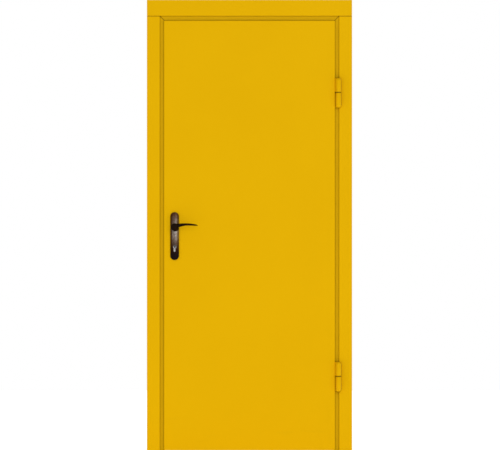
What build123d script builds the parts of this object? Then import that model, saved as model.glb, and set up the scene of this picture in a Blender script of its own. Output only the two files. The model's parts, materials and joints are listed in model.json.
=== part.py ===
# Single-leaf steel entrance door in its frame.
# X runs to the right, Y into the wall, Z up. The origin lies at floor level,
# in the middle of the width, in the plane of the wall face.

import os

from build123d import *

os.makedirs("parts", exist_ok=True)

# Overall size over the casings
overall_width = 960.0
overall_height = 2120.0

# Casing strips
side_casing_width = 60.0
head_casing_width = 75.0
casing_thickness = 3.0
casing_edge_radius = 0.8
casing_joint_gap = 1.2

# Bent sheet frame
frame_sheet = 2.0
frame_bend_inside = 1.0
frame_lap = 10.0
groove_depth = 10.0
step_width = 25.0
rebate_depth = 50.0
stop_width = 18.0
frame_depth = 85.0
wall_return = 20.0
weld_flange = 12.0
weld_gap = 1.4
mitre_gap = 1.2

# Sill
sill_plate_thickness = 3.0
sill_lip_clearance = 0.5
sill_sheet = 2.0
sill_tread_height = 22.0
sill_stop_height = 20.0
sill_end_clearance = 1.0

# Leaf
leaf_side_gap = 20.0
leaf_top_gap = 23.0
leaf_floor_gap = 12.0
skin_sheet = 1.5
skin_edge_radius = 1.6
skin_edge_depth = 6.0
pan_sheet = 1.5
pan_edge_radius = 3.0
pan_side_gap = 11.0
pan_top_gap = 10.0
pan_floor_gap = 10.0
leaf_thickness = 53.0

# Seal on the stop
seal_width = 9.0
seal_thickness = 5.0
seal_round = 2.0
seal_setback = 2.5

# Hinges
hinge_length = 140.0
hinge_leaf_share = 0.48
hinge_split_gap = 2.4
hinge_radius = 12.5
hinge_edge_offset = 18.0
hinge_face_clearance = 2.0
hinge_end_radius = 9.0
upper_hinge_drop = 335.0
lower_hinge_rise = 347.0
hinge_leg_gap = 2.0
hinge_leg_corner = 2.0
hinge_leaf_leg = 4.0
hinge_knee_back = 4.2
hinge_knee_in = 11.2
hinge_trim = 1.0
pin_radius = 6.0
pin_depth = 45.0
pin_seat_clearance = 0.03
pin_running_clearance = 0.08
pin_end_clearance = 3.0
washer_radius = 10.0
washer_thickness = 2.0
washer_bore_clearance = 0.3

# Handle plates
lever_height = 1056.0
handle_inset = 50.0
plate_width = 40.0
plate_length = 223.0
plate_drop = 42.0
plate_thickness = 8.0
plate_side_thickness = 5.0
plate_edge = 1.2

# Levers
neck_radius = 10.0
neck_clearance = 0.08
neck_recess = 1.0
hub_radius = 17.6
hub_length = 16.0
hub_edge = 1.0
hub_reach = 44.0
arm_length = 109.0
arm_lift = 13.0
arm_height = 21.8
arm_depth = 13.0
arm_lean = 8.0
arm_bevel = 0.42
spindle_size = 8.0
spindle_clearance = 0.1
spindle_socket = 14.0
spindle_hole = 12.0

# Profile cylinder
cylinder_drop = 92.0
cylinder_radius = 8.5
cylinder_height = 33.0
cylinder_tail = 10.0
cylinder_proud = 2.0
cylinder_clearance = 0.3
cylinder_skin_clearance = 1.0
keyway_width = 2.4
keyway_height = 9.0
keyway_depth = 14.0

# Lock front and strike plate
lock_offset = 3.5
lock_front_width = 24.0
lock_front_length = 270.0
lock_front_thickness = 3.0
lock_front_drop = 41.0
lock_front_clearance = 0.3
latch_rise = 8.0
latch_width = 12.0
latch_height = 26.0
latch_length = 22.0
latch_bevel = 5.0
dead_bolt_drop = 62.0
dead_bolt_width = 14.0
dead_bolt_height = 34.0
dead_bolt_length = 30.0
dead_bolt_round = 2.0
bolt_clearance = 0.3
strike_width = 24.0
strike_margin = 26.0
strike_thickness = 2.0
strike_corner = 6.0
strike_play = 1.5
strike_back_margin = 2.0
keeper_margin = 20.0

# Anchor holes in the jambs
anchor_radius = 5.5
anchor_depth = 36.0
anchor_foot = 250.0
anchor_head = 155.0
anchor_count = 4

# Derived positions
half_width = overall_width / 2
jamb_x = half_width - side_casing_width
head_z = overall_height - head_casing_width
step_x = jamb_x - step_width
step_z = head_z - step_width
stop_x = step_x - stop_width
stop_z = step_z - stop_width
stop_y = groove_depth + rebate_depth
box_x = jamb_x + frame_lap
box_z = head_z + frame_lap
leaf_x = jamb_x - leaf_side_gap
leaf_top = head_z - leaf_top_gap
leaf_front = -casing_thickness
leaf_back = leaf_front + leaf_thickness
leaf_middle = (leaf_front + leaf_back) / 2
skin_back = leaf_front + skin_sheet
pan_x = step_x - pan_side_gap
pan_top = step_z - pan_top_gap
pan_bottom = sill_tread_height + pan_floor_gap
sill_stop_top = sill_tread_height + sill_stop_height
upper_hinge_height = leaf_top - upper_hinge_drop
lower_hinge_height = leaf_floor_gap + lower_hinge_rise
hinge_x = leaf_x + hinge_edge_offset
hinge_y = -casing_thickness - hinge_face_clearance - hinge_radius
handle_x = -leaf_x + handle_inset
plate_z = lever_height - plate_drop
cylinder_z = lever_height - cylinder_drop
latch_z = lever_height + latch_rise
dead_bolt_z = lever_height - dead_bolt_drop
lock_front_z = lever_height - lock_front_drop
lock_y = leaf_middle + lock_offset
strike_top = latch_z + latch_height / 2 + strike_margin
strike_bottom = dead_bolt_z - dead_bolt_height / 2 - strike_margin
keeper_top = strike_top + keeper_margin
keeper_bottom = strike_bottom - keeper_margin
anchor_spacing = (box_z - anchor_head - anchor_foot) / (anchor_count - 1)
anchor_heights = [anchor_foot + i * anchor_spacing for i in range(anchor_count)]
leaf_mid_plane = Plane.XZ.offset(-leaf_middle)


# Front profile of the frame: lap behind the casing, groove and rebate wall
def face_section():
    convex = frame_bend_inside + frame_sheet
    concave = frame_bend_inside
    with BuildLine() as visible:
        FilletPolyline(
            (-frame_lap, 0),
            (0, 0),
            (0, groove_depth),
            (step_width, groove_depth),
            (step_width, stop_y - weld_gap),
            radius=(convex, concave, convex),
        )
        offset(amount=frame_sheet, side=Side.LEFT)
    return visible.line


# Rear profile of the frame: weld flange behind the rebate wall, stop, reveal and wall return
def stop_section():
    convex = frame_bend_inside + frame_sheet
    concave = frame_bend_inside
    with BuildLine() as visible:
        FilletPolyline(
            (step_width - frame_sheet, stop_y - weld_gap - weld_flange),
            (step_width - frame_sheet, stop_y),
            (step_width + stop_width, stop_y),
            (step_width + stop_width, frame_depth),
            (-frame_lap, frame_depth),
            (-frame_lap, frame_depth - wall_return),
            radius=(concave, convex, convex, convex),
        )
        offset(amount=frame_sheet, side=Side.RIGHT)
    return visible.line


# Profile cylinder outline with a round head and a tail below it
def cylinder_outline(clearance):
    with BuildSketch() as outline:
        Circle(cylinder_radius + clearance)
        tail_end = cylinder_height - cylinder_radius - cylinder_tail / 2
        with Locations((0, -tail_end / 2)):
            Rectangle(cylinder_tail + 2 * clearance, tail_end)
        with Locations((0, -tail_end)):
            Circle(cylinder_tail / 2 + clearance)
    return outline.sketch


# Frame jambs and head, each welded from a front and a rear profile and mitred at the corners
lock_mitre = Plane(origin=(-jamb_x, 0, head_z), x_dir=(0, 1, 0), z_dir=(1, 0, 1))
hinge_mitre = Plane(origin=(jamb_x, 0, head_z), x_dir=(0, 1, 0), z_dir=(-1, 0, 1))


def lock_side_post(section):
    with BuildPart() as post:
        with BuildSketch(Plane(origin=(-jamb_x, 0, sill_plate_thickness))):
            with BuildLine():
                add(section)
            make_face()
        extrude(amount=box_z - sill_plate_thickness)
        split(bisect_by=lock_mitre.offset(-mitre_gap / 2), keep=Keep.BOTTOM)
    return post.part


def head_beam(section):
    with BuildPart() as beam:
        with BuildSketch(Plane(origin=(-box_x, 0, head_z), x_dir=(0, 0, -1), z_dir=(1, 0, 0))):
            with BuildLine():
                add(section)
            make_face()
        extrude(amount=2 * box_x)
        split(bisect_by=lock_mitre.offset(mitre_gap / 2), keep=Keep.TOP)
        split(bisect_by=hinge_mitre.offset(mitre_gap / 2), keep=Keep.TOP)
    return beam.part


with BuildPart() as drilled_jamb:
    add(lock_side_post(face_section()))
    with BuildSketch(Plane.YZ.offset(-step_x)):
        for height in anchor_heights:
            with Locations((anchor_depth, height)):
                Circle(anchor_radius)
    extrude(amount=2 * frame_sheet, both=True, mode=Mode.SUBTRACT)

with BuildPart() as hinge_jamb:
    mirror(drilled_jamb.part, about=Plane.YZ)

# The lock jamb's front profile is welded up from three lengths, and the middle one is cut for the bolts
with BuildPart() as lock_jamb_lower:
    add(drilled_jamb.part)
    split(bisect_by=Plane.XY.offset(keeper_bottom), keep=Keep.BOTTOM)

with BuildPart() as lock_jamb_upper:
    add(drilled_jamb.part)
    split(bisect_by=Plane.XY.offset(keeper_top), keep=Keep.TOP)

with BuildPart() as lock_jamb_keeper:
    add(drilled_jamb.part)
    split(bisect_by=Plane.XY.offset(keeper_bottom), keep=Keep.TOP)
    split(bisect_by=Plane.XY.offset(keeper_top), keep=Keep.BOTTOM)
    with BuildSketch(Plane.YZ.offset(-step_x)):
        with Locations((lock_y, latch_z)):
            Rectangle(
                latch_width + 2 * (strike_play + strike_back_margin),
                latch_height + 2 * (strike_play + strike_back_margin),
            )
        with Locations((lock_y, dead_bolt_z)):
            Rectangle(
                dead_bolt_width + 2 * (strike_play + strike_back_margin),
                dead_bolt_height + 2 * (strike_play + strike_back_margin),
            )
    extrude(amount=2 * frame_sheet, both=True, mode=Mode.SUBTRACT)

with BuildPart() as lock_jamb_stop:
    add(lock_side_post(stop_section()))

with BuildPart() as hinge_jamb_stop:
    mirror(lock_jamb_stop.part, about=Plane.YZ)

with BuildPart() as head:
    add(head_beam(face_section()))

with BuildPart() as head_stop:
    add(head_beam(stop_section()))

# Sill plate on the floor under the jambs, with a lip between the casings
with BuildPart() as sill_plate:
    with BuildSketch():
        with Locations((0, frame_depth / 2)):
            Rectangle(2 * box_x, frame_depth)
        with Locations((0, -casing_thickness / 2)):
            Rectangle(2 * (jamb_x - sill_lip_clearance), casing_thickness)
    extrude(amount=sill_plate_thickness)

# Stepped sill between the jambs
with BuildPart() as sill:
    sill_half = step_x - sill_end_clearance
    with BuildSketch(Plane.YZ.offset(-sill_half)):
        with BuildLine():
            FilletPolyline(
                (groove_depth, sill_plate_thickness),
                (groove_depth, sill_tread_height),
                (stop_y, sill_tread_height),
                (stop_y, sill_stop_top),
                (frame_depth, sill_stop_top),
                (frame_depth, sill_plate_thickness),
                radius=(
                    frame_bend_inside + sill_sheet,
                    frame_bend_inside,
                    frame_bend_inside + sill_sheet,
                    frame_bend_inside + sill_sheet,
                ),
            )
            offset(amount=sill_sheet, side=Side.RIGHT)
        make_face()
    extrude(amount=2 * sill_half)
    cope_front = stop_y - sill_end_clearance
    cope_depth = frame_depth - cope_front
    cope_width = stop_width + sill_end_clearance
    with BuildSketch():
        for side in (-1, 1):
            with Locations(
                (side * (step_x - stop_width - sill_end_clearance + cope_width / 2),
                 cope_front + cope_depth / 2)
            ):
                Rectangle(cope_width, cope_depth)
    extrude(amount=sill_stop_top, mode=Mode.SUBTRACT)


# Flat casing strips
def casing_strip(width, length, x, z):
    with BuildPart() as strip:
        with BuildSketch(Plane.XZ):
            with Locations((x, z)):
                Rectangle(width, length)
        extrude(amount=casing_thickness)
        front = strip.faces().sort_by(Axis.Y)[0]
        fillet(front.edges(), radius=casing_edge_radius)
    return strip.part


side_length = head_z - casing_joint_gap
side_x = half_width - side_casing_width / 2

with BuildPart() as lock_casing:
    add(casing_strip(side_casing_width, side_length, -side_x, side_length / 2))

with BuildPart() as hinge_casing:
    add(casing_strip(side_casing_width, side_length, side_x, side_length / 2))

with BuildPart() as head_casing:
    add(casing_strip(overall_width, head_casing_width, 0, head_z + head_casing_width / 2))

# Seal ring on the stop, all round
seal_x = stop_x + seal_setback
seal_top = stop_z + seal_setback
seal_bottom = sill_stop_top - seal_setback

with BuildPart() as frame_seal:
    with BuildSketch(Plane.XZ.offset(-stop_y)):
        with Locations((0, (seal_top + seal_bottom) / 2)):
            Rectangle(
                2 * (seal_x + seal_width),
                seal_top - seal_bottom + 2 * seal_width,
            )
            Rectangle(2 * seal_x, seal_top - seal_bottom, mode=Mode.SUBTRACT)
    extrude(amount=seal_thickness)
    seal_face = frame_seal.faces().sort_by(Axis.Y)[0]
    fillet(seal_face.edges(), radius=seal_round)

# Strike plate on the lock jamb
with BuildPart() as strike_plate:
    with BuildSketch(Plane.YZ.offset(-step_x)):
        with Locations((lock_y, (strike_top + strike_bottom) / 2)):
            RectangleRounded(strike_width, strike_top - strike_bottom, strike_corner)
        with Locations((lock_y, latch_z)):
            Rectangle(
                latch_width + 2 * strike_play,
                latch_height + 2 * strike_play,
                mode=Mode.SUBTRACT,
            )
        with Locations((lock_y, dead_bolt_z)):
            Rectangle(
                dead_bolt_width + 2 * strike_play,
                dead_bolt_height + 2 * strike_play,
                mode=Mode.SUBTRACT,
            )
    extrude(amount=strike_thickness)

# Leaf outer skin, a shallow tray with its edges folded back
skin_height = leaf_top - leaf_floor_gap
skin_z = (leaf_top + leaf_floor_gap) / 2

with BuildPart() as outer_skin:
    with BuildSketch(Plane.XZ.offset(-leaf_front)):
        with Locations((0, skin_z)):
            Rectangle(2 * leaf_x, skin_height)
    extrude(amount=-skin_edge_depth)
    skin_front = outer_skin.faces().sort_by(Axis.Y)[0]
    fillet(skin_front.edges(), radius=skin_edge_radius)
    with BuildSketch(Plane.XZ.offset(-skin_back)):
        with Locations((0, skin_z)):
            Rectangle(2 * (leaf_x - skin_sheet), skin_height - 2 * skin_sheet)
    extrude(amount=-skin_edge_depth, mode=Mode.SUBTRACT)
    with BuildSketch(Plane.XZ.offset(-leaf_front)):
        with Locations((handle_x, lever_height)):
            Circle(spindle_hole)
        with Locations((handle_x, cylinder_z)):
            add(cylinder_outline(cylinder_skin_clearance))
    extrude(amount=-skin_edge_depth, mode=Mode.SUBTRACT)

# Leaf inner skin, a deep tray that closes the back and the edges
pan_height = pan_top - pan_bottom
pan_z = (pan_top + pan_bottom) / 2
pan_depth = leaf_back - skin_back

with BuildPart() as inner_skin:
    with BuildSketch(Plane.XZ.offset(-skin_back)):
        with Locations((0, pan_z)):
            Rectangle(2 * pan_x, pan_height)
    extrude(amount=-pan_depth)
    pan_face = inner_skin.faces().sort_by(Axis.Y)[-1]
    fillet(pan_face.edges(), radius=pan_edge_radius)
    with BuildSketch(Plane.XZ.offset(-skin_back)):
        with Locations((0, pan_z)):
            Rectangle(2 * (pan_x - pan_sheet), pan_height - 2 * pan_sheet)
    extrude(amount=-(pan_depth - pan_sheet), mode=Mode.SUBTRACT)
    with BuildSketch(Plane.XZ.offset(-leaf_back)):
        with Locations((handle_x, lever_height)):
            Circle(spindle_hole)
        with Locations((handle_x, cylinder_z)):
            add(cylinder_outline(cylinder_skin_clearance))
    extrude(amount=2 * pan_sheet, mode=Mode.SUBTRACT)
    with BuildSketch(Plane.YZ.offset(-pan_x)):
        with Locations((lock_y, lock_front_z)):
            RectangleRounded(
                lock_front_width + 2 * lock_front_clearance,
                lock_front_length + 2 * lock_front_clearance,
                lock_front_width / 2,
            )
    extrude(amount=2 * pan_sheet, mode=Mode.SUBTRACT)

# Lock front let into the edge of the leaf
with BuildPart() as lock_front:
    with BuildSketch(Plane.YZ.offset(-pan_x)):
        with Locations((lock_y, lock_front_z)):
            RectangleRounded(
                lock_front_width, lock_front_length, lock_front_width / 2 - lock_front_clearance
            )
        with Locations((lock_y, latch_z)):
            Rectangle(
                latch_width + 2 * bolt_clearance,
                latch_height + 2 * bolt_clearance,
                mode=Mode.SUBTRACT,
            )
        with Locations((lock_y, dead_bolt_z)):
            Rectangle(
                dead_bolt_width + 2 * bolt_clearance,
                dead_bolt_height + 2 * bolt_clearance,
                mode=Mode.SUBTRACT,
            )
    extrude(amount=lock_front_thickness)

# Latch with its bevelled nose, drawn back flush with the lock front
with BuildPart() as latch_bolt:
    with BuildSketch(Plane.YZ.offset(-pan_x)):
        with Locations((lock_y, latch_z)):
            Rectangle(latch_width, latch_height)
    extrude(amount=latch_length)
    nose = latch_bolt.faces().sort_by(Axis.X)[0]
    chamfer(nose.edges().filter_by(Axis.Z).sort_by(Axis.Y)[-1], length=latch_bevel)

# Dead bolt, drawn back flush with the lock front
with BuildPart() as dead_bolt:
    with BuildSketch(Plane.YZ.offset(-pan_x)):
        with Locations((lock_y, dead_bolt_z)):
            Rectangle(dead_bolt_width, dead_bolt_height)
    extrude(amount=dead_bolt_length)
    bolt_nose = dead_bolt.faces().sort_by(Axis.X)[0]
    fillet(bolt_nose.edges(), radius=dead_bolt_round)

# Hinges: the upper half turns with the leaf, the lower half stays on the frame
leaf_half_length = hinge_length * hinge_leaf_share - hinge_split_gap / 2
frame_half_length = hinge_length * (1 - hinge_leaf_share) - hinge_split_gap / 2
hinge_outer = hinge_x + hinge_radius


def hinge_leaf_half(split_height):
    bottom = split_height + hinge_split_gap / 2
    top = bottom + leaf_half_length
    with BuildPart() as half:
        with BuildSketch(Plane.XY.offset(bottom)):
            with Locations((hinge_x, hinge_y)):
                Circle(hinge_radius)
            with BuildLine():
                Polyline(
                    (leaf_x, leaf_front + skin_edge_radius),
                    (hinge_x - hinge_radius, hinge_y),
                    (hinge_x, hinge_y),
                    (hinge_x - hinge_knee_back, hinge_y + hinge_knee_in),
                    (leaf_x + hinge_leaf_leg, leaf_front + skin_edge_depth),
                    (leaf_x, leaf_front + skin_edge_depth),
                    close=True,
                )
            make_face()
        extrude(amount=leaf_half_length)
        with BuildSketch(Plane.XZ):
            with BuildLine():
                FilletPolyline(
                    (leaf_x - hinge_trim, bottom - hinge_trim),
                    (hinge_outer + hinge_trim, bottom - hinge_trim),
                    (hinge_outer + hinge_trim, top),
                    (leaf_x - hinge_trim, top),
                    radius=(0, hinge_end_radius, 0, 0),
                    close=True,
                )
            make_face()
        extrude(amount=hinge_length, both=True, mode=Mode.INTERSECT)
        with BuildSketch(Plane.XY.offset(bottom)):
            with Locations((hinge_x, hinge_y)):
                Circle(pin_radius + pin_running_clearance)
        extrude(amount=pin_depth + pin_end_clearance, mode=Mode.SUBTRACT)
    return half.part


def hinge_frame_half(split_height):
    top = split_height - hinge_split_gap / 2
    bottom = top - frame_half_length
    with BuildPart() as half:
        with BuildSketch(Plane.XY.offset(bottom)):
            with Locations((hinge_x, hinge_y)):
                Circle(hinge_radius)
            with BuildLine():
                Polyline(
                    (leaf_x + hinge_leg_gap, leaf_front + skin_edge_radius),
                    (hinge_x - hinge_radius, hinge_y),
                    (jamb_x, hinge_y),
                    (jamb_x, groove_depth - hinge_leg_corner),
                    (jamb_x - hinge_leg_corner, groove_depth),
                    (leaf_x + hinge_leg_gap, groove_depth),
                    close=True,
                )
            make_face()
        extrude(amount=frame_half_length)
        with BuildSketch(Plane.XZ):
            with BuildLine():
                FilletPolyline(
                    (leaf_x - hinge_trim, bottom),
                    (hinge_outer + hinge_trim, bottom),
                    (hinge_outer + hinge_trim, top + hinge_trim),
                    (leaf_x - hinge_trim, top + hinge_trim),
                    radius=(hinge_end_radius, 0, 0, 0),
                    close=True,
                )
            make_face()
        extrude(amount=hinge_length, both=True, mode=Mode.INTERSECT)
        with BuildSketch(Plane.XY.offset(top)):
            with Locations((hinge_x, hinge_y)):
                Circle(pin_radius + pin_seat_clearance)
        extrude(amount=-pin_depth, mode=Mode.SUBTRACT)
    return half.part


def hinge_pin(split_height):
    bottom = split_height - hinge_split_gap / 2 - pin_depth
    with BuildPart() as pin:
        with BuildSketch(Plane.XY.offset(bottom)):
            with Locations((hinge_x, hinge_y)):
                Circle(pin_radius)
        extrude(amount=2 * pin_depth + hinge_split_gap)
    return pin.part


def hinge_washer(split_height):
    with BuildPart() as washer:
        with BuildSketch(Plane.XY.offset(split_height - hinge_split_gap / 2)):
            with Locations((hinge_x, hinge_y)):
                Circle(washer_radius)
                Circle(pin_radius + washer_bore_clearance, mode=Mode.SUBTRACT)
        extrude(amount=washer_thickness)
    return washer.part


with BuildPart() as upper_hinge_leaf_half:
    add(hinge_leaf_half(upper_hinge_height))

with BuildPart() as lower_hinge_leaf_half:
    add(hinge_leaf_half(lower_hinge_height))

with BuildPart() as upper_hinge_frame_half:
    add(hinge_frame_half(upper_hinge_height))

with BuildPart() as lower_hinge_frame_half:
    add(hinge_frame_half(lower_hinge_height))

with BuildPart() as upper_hinge_pin:
    add(hinge_pin(upper_hinge_height))

with BuildPart() as lower_hinge_pin:
    add(hinge_pin(lower_hinge_height))

with BuildPart() as upper_hinge_washer:
    add(hinge_washer(upper_hinge_height))

with BuildPart() as lower_hinge_washer:
    add(hinge_washer(lower_hinge_height))

# Handle plates, arched across their width and round at both ends
plate_front = leaf_front - plate_thickness
plate_side = leaf_front - plate_side_thickness

with BuildPart() as outside_plate:
    with BuildSketch(Plane.XY.offset(plate_z - plate_length / 2)):
        with BuildLine():
            Polyline(
                (handle_x - plate_width / 2, plate_side),
                (handle_x - plate_width / 2, leaf_front),
                (handle_x + plate_width / 2, leaf_front),
                (handle_x + plate_width / 2, plate_side),
            )
            ThreePointArc(
                (handle_x - plate_width / 2, plate_side),
                (handle_x, plate_front),
                (handle_x + plate_width / 2, plate_side),
            )
        make_face()
    extrude(amount=plate_length)
    with BuildSketch(Plane.XZ.offset(-leaf_front)):
        with Locations((handle_x, plate_z)):
            SlotOverall(plate_length, plate_width, rotation=90)
    extrude(amount=2 * plate_thickness, mode=Mode.INTERSECT)
    rim = outside_plate.faces().sort_by(Axis.Y)[0]
    chamfer(rim.edges(), length=plate_edge)
    with BuildSketch(Plane.XZ.offset(-leaf_front)):
        with Locations((handle_x, lever_height)):
            Circle(neck_radius + neck_clearance)
        with Locations((handle_x, cylinder_z)):
            add(cylinder_outline(cylinder_clearance))
    extrude(amount=2 * plate_thickness, mode=Mode.SUBTRACT)

with BuildPart() as inside_plate:
    mirror(outside_plate.part, about=leaf_mid_plane)

# Profile cylinder through the leaf, with a keyway at both ends
cylinder_front = plate_front - cylinder_proud
cylinder_length = 2 * (leaf_middle - cylinder_front)

with BuildPart() as key_cylinder:
    with BuildSketch(Plane.XZ.offset(-cylinder_front)):
        with Locations((handle_x, cylinder_z)):
            add(cylinder_outline(0))
    extrude(amount=-cylinder_length)
    for end_plane, inward in (
        (Plane.XZ.offset(-cylinder_front), -1),
        (Plane.XZ.offset(-cylinder_front - cylinder_length), 1),
    ):
        with BuildSketch(end_plane):
            with Locations((handle_x, cylinder_z)):
                Rectangle(keyway_width, keyway_height)
        extrude(amount=inward * keyway_depth, mode=Mode.SUBTRACT)

# Levers: neck and round hub turned about the spindle, with a wing-shaped lofted arm
hub_middle = plate_front - hub_reach
hub_back = hub_middle + hub_length / 2
hub_front = hub_middle - hub_length / 2
neck_end = leaf_front - neck_recess
lever_axis = Axis((handle_x, 0, lever_height), (0, 1, 0))

# Arm sections from hub to tip, as shares of the arm's length, lift, height, depth and lean
arm_sections = (
    (0.037, 0.40, 1.00, 1.00, 0.00),
    (0.330, 0.82, 0.62, 0.95, 0.05),
    (0.700, 0.91, 0.44, 0.78, 0.38),
    (1.000, 0.60, 0.15, 0.31, 1.00),
)


# Eight-sided section of the arm, with broad bevels between its four faces
def arm_outline(half_depth, half_height):
    inner_depth = arm_bevel * half_depth
    inner_height = arm_bevel * half_height
    Polyline(
        (half_depth, -inner_height),
        (half_depth, inner_height),
        (inner_depth, half_height),
        (-inner_depth, half_height),
        (-half_depth, inner_height),
        (-half_depth, -inner_height),
        (-inner_depth, -half_height),
        (inner_depth, -half_height),
        close=True,
    )


with BuildPart() as outside_lever:
    for reach, lift, height, depth, lean in arm_sections:
        with BuildSketch(
            Plane(
                origin=(
                    handle_x + reach * arm_length,
                    hub_middle + lean * arm_lean,
                    lever_height + lift * arm_lift,
                ),
                x_dir=(0, 1, 0),
                z_dir=(1, 0, 0),
            )
        ):
            with BuildLine():
                arm_outline(depth * arm_depth / 2, height * arm_height / 2)
            make_face()
    loft()
    with BuildSketch(Plane.XY.offset(lever_height)):
        with BuildLine():
            Polyline(
                (handle_x, neck_end),
                (handle_x + neck_radius, neck_end),
                (handle_x + neck_radius, hub_back),
                (handle_x + hub_radius, hub_back),
                (handle_x + hub_radius, hub_front + hub_edge),
                (handle_x + hub_radius - hub_edge, hub_front),
                (handle_x, hub_front),
                close=True,
            )
        make_face()
    revolve(axis=lever_axis)
    with BuildSketch(Plane.XZ.offset(-neck_end)):
        with Locations((handle_x, lever_height)):
            Rectangle(
                spindle_size + 2 * spindle_clearance,
                spindle_size + 2 * spindle_clearance,
            )
    extrude(amount=spindle_socket, mode=Mode.SUBTRACT)

with BuildPart() as inside_lever:
    mirror(outside_lever.part, about=leaf_mid_plane)

# Square spindle between the two levers
spindle_end = neck_end - spindle_socket

with BuildPart() as spindle:
    with BuildSketch(Plane.XZ.offset(-spindle_end)):
        with Locations((handle_x, lever_height)):
            Rectangle(spindle_size, spindle_size)
    extrude(amount=-2 * (leaf_middle - spindle_end))

# Names and files of the pieces
lock_jamb_lower.part.label = "lock_jamb_lower"
export_step(lock_jamb_lower.part, "parts/lock_jamb_lower.step")
lock_jamb_keeper.part.label = "lock_jamb_keeper"
export_step(lock_jamb_keeper.part, "parts/lock_jamb_keeper.step")
lock_jamb_upper.part.label = "lock_jamb_upper"
export_step(lock_jamb_upper.part, "parts/lock_jamb_upper.step")
lock_jamb_stop.part.label = "lock_jamb_stop"
export_step(lock_jamb_stop.part, "parts/lock_jamb_stop.step")
hinge_jamb.part.label = "hinge_jamb"
export_step(hinge_jamb.part, "parts/hinge_jamb.step")
hinge_jamb_stop.part.label = "hinge_jamb_stop"
export_step(hinge_jamb_stop.part, "parts/hinge_jamb_stop.step")
head.part.label = "head"
export_step(head.part, "parts/head.step")
head_stop.part.label = "head_stop"
export_step(head_stop.part, "parts/head_stop.step")
sill_plate.part.label = "sill_plate"
export_step(sill_plate.part, "parts/sill_plate.step")
sill.part.label = "sill"
export_step(sill.part, "parts/sill.step")
lock_casing.part.label = "lock_casing"
export_step(lock_casing.part, "parts/lock_casing.step")
hinge_casing.part.label = "hinge_casing"
export_step(hinge_casing.part, "parts/hinge_casing.step")
head_casing.part.label = "head_casing"
export_step(head_casing.part, "parts/head_casing.step")
frame_seal.part.label = "frame_seal"
export_step(frame_seal.part, "parts/frame_seal.step")
strike_plate.part.label = "strike_plate"
export_step(strike_plate.part, "parts/strike_plate.step")
outer_skin.part.label = "outer_skin"
export_step(outer_skin.part, "parts/outer_skin.step")
inner_skin.part.label = "inner_skin"
export_step(inner_skin.part, "parts/inner_skin.step")
lock_front.part.label = "lock_front"
export_step(lock_front.part, "parts/lock_front.step")
latch_bolt.part.label = "latch_bolt"
export_step(latch_bolt.part, "parts/latch_bolt.step")
dead_bolt.part.label = "dead_bolt"
export_step(dead_bolt.part, "parts/dead_bolt.step")
upper_hinge_leaf_half.part.label = "upper_hinge_leaf_half"
export_step(upper_hinge_leaf_half.part, "parts/upper_hinge_leaf_half.step")
lower_hinge_leaf_half.part.label = "lower_hinge_leaf_half"
export_step(lower_hinge_leaf_half.part, "parts/lower_hinge_leaf_half.step")
upper_hinge_frame_half.part.label = "upper_hinge_frame_half"
export_step(upper_hinge_frame_half.part, "parts/upper_hinge_frame_half.step")
lower_hinge_frame_half.part.label = "lower_hinge_frame_half"
export_step(lower_hinge_frame_half.part, "parts/lower_hinge_frame_half.step")
upper_hinge_pin.part.label = "upper_hinge_pin"
export_step(upper_hinge_pin.part, "parts/upper_hinge_pin.step")
lower_hinge_pin.part.label = "lower_hinge_pin"
export_step(lower_hinge_pin.part, "parts/lower_hinge_pin.step")
upper_hinge_washer.part.label = "upper_hinge_washer"
export_step(upper_hinge_washer.part, "parts/upper_hinge_washer.step")
lower_hinge_washer.part.label = "lower_hinge_washer"
export_step(lower_hinge_washer.part, "parts/lower_hinge_washer.step")
outside_plate.part.label = "outside_plate"
export_step(outside_plate.part, "parts/outside_plate.step")
inside_plate.part.label = "inside_plate"
export_step(inside_plate.part, "parts/inside_plate.step")
key_cylinder.part.label = "key_cylinder"
export_step(key_cylinder.part, "parts/key_cylinder.step")
outside_lever.part.label = "outside_lever"
export_step(outside_lever.part, "parts/outside_lever.step")
inside_lever.part.label = "inside_lever"
export_step(inside_lever.part, "parts/inside_lever.step")
spindle.part.label = "spindle"
export_step(spindle.part, "parts/spindle.step")
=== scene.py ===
import json
import math

import bmesh
import bpy
from mathutils import Matrix, Vector


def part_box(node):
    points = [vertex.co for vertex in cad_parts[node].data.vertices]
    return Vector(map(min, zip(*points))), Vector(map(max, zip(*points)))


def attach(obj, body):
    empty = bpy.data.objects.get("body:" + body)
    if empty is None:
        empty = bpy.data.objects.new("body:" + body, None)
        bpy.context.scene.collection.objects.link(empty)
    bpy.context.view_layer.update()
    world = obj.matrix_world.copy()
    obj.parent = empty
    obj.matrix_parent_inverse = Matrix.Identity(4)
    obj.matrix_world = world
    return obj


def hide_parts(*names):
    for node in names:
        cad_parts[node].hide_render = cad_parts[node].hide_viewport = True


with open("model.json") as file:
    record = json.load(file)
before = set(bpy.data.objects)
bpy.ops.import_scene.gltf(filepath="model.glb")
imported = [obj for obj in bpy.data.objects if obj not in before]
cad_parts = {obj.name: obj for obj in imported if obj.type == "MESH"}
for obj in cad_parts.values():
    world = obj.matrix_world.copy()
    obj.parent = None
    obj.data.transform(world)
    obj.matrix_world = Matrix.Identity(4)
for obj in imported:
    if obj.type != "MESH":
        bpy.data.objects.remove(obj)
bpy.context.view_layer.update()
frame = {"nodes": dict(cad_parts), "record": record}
print("frame loaded with", len(frame["nodes"]), "nodes")


# Shader sockets as values in expressions

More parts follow.
